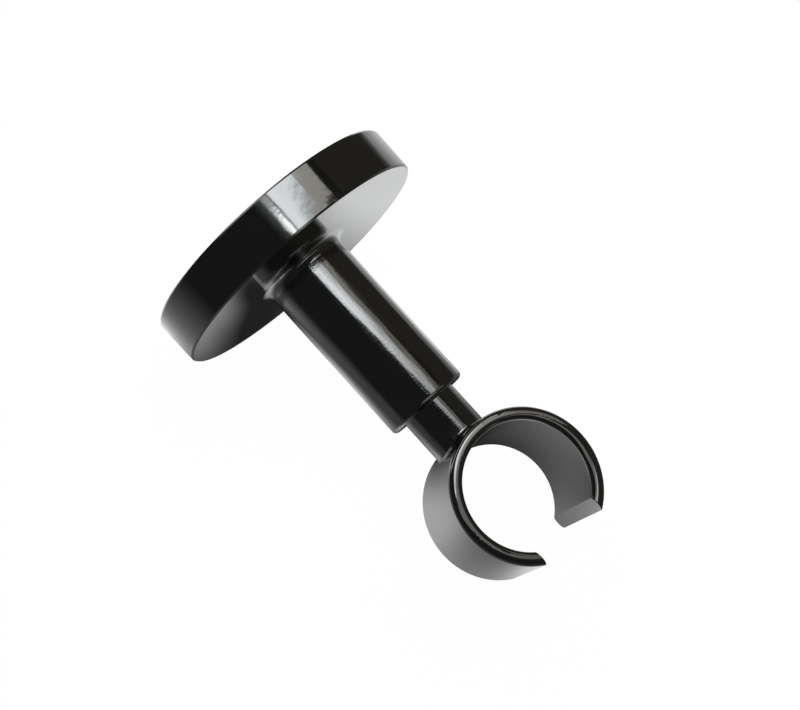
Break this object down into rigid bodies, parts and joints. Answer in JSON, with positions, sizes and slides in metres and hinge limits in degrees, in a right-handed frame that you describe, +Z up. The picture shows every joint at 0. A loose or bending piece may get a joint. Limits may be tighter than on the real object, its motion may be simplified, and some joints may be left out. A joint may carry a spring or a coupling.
{
  "type": "curtain pole bracket",
  "caption": "Wall bracket for a curtain pole: a round rose and sleeve with a concealed fixing, and an open cup on a rod that slides in the sleeve to set the projection.",
  "frame": {"origin": "centre of the wall face, between the two wall screw holes", "axes": "+Y into the wall, so the rod runs out along -Y; X along the pole; +Z up, with both grub screws on the underside"},
  "size_m": [0.0666, 0.0966, 0.0666],
  "materials": {
    "black_nickel": "polished black nickel plate",
    "zinc_casting": "plain zinc casting",
    "black_steel": "black oxide"
  },
  "bodies": {
    "base": {"rose_sleeve": "black_nickel", "wall_plate": "zinc_casting", "rose_grub_screw": "black_steel", "rod_grub_screw": "black_steel"},
    "cup": {"cup_rod": "black_nickel"}
  },
  "joints": [
    {"name": "projection_slide", "type": "slide", "parent": "base", "child": "cup", "axis": [0, -1, 0], "range_m": [-0.0085, 0.02]}
  ]
}
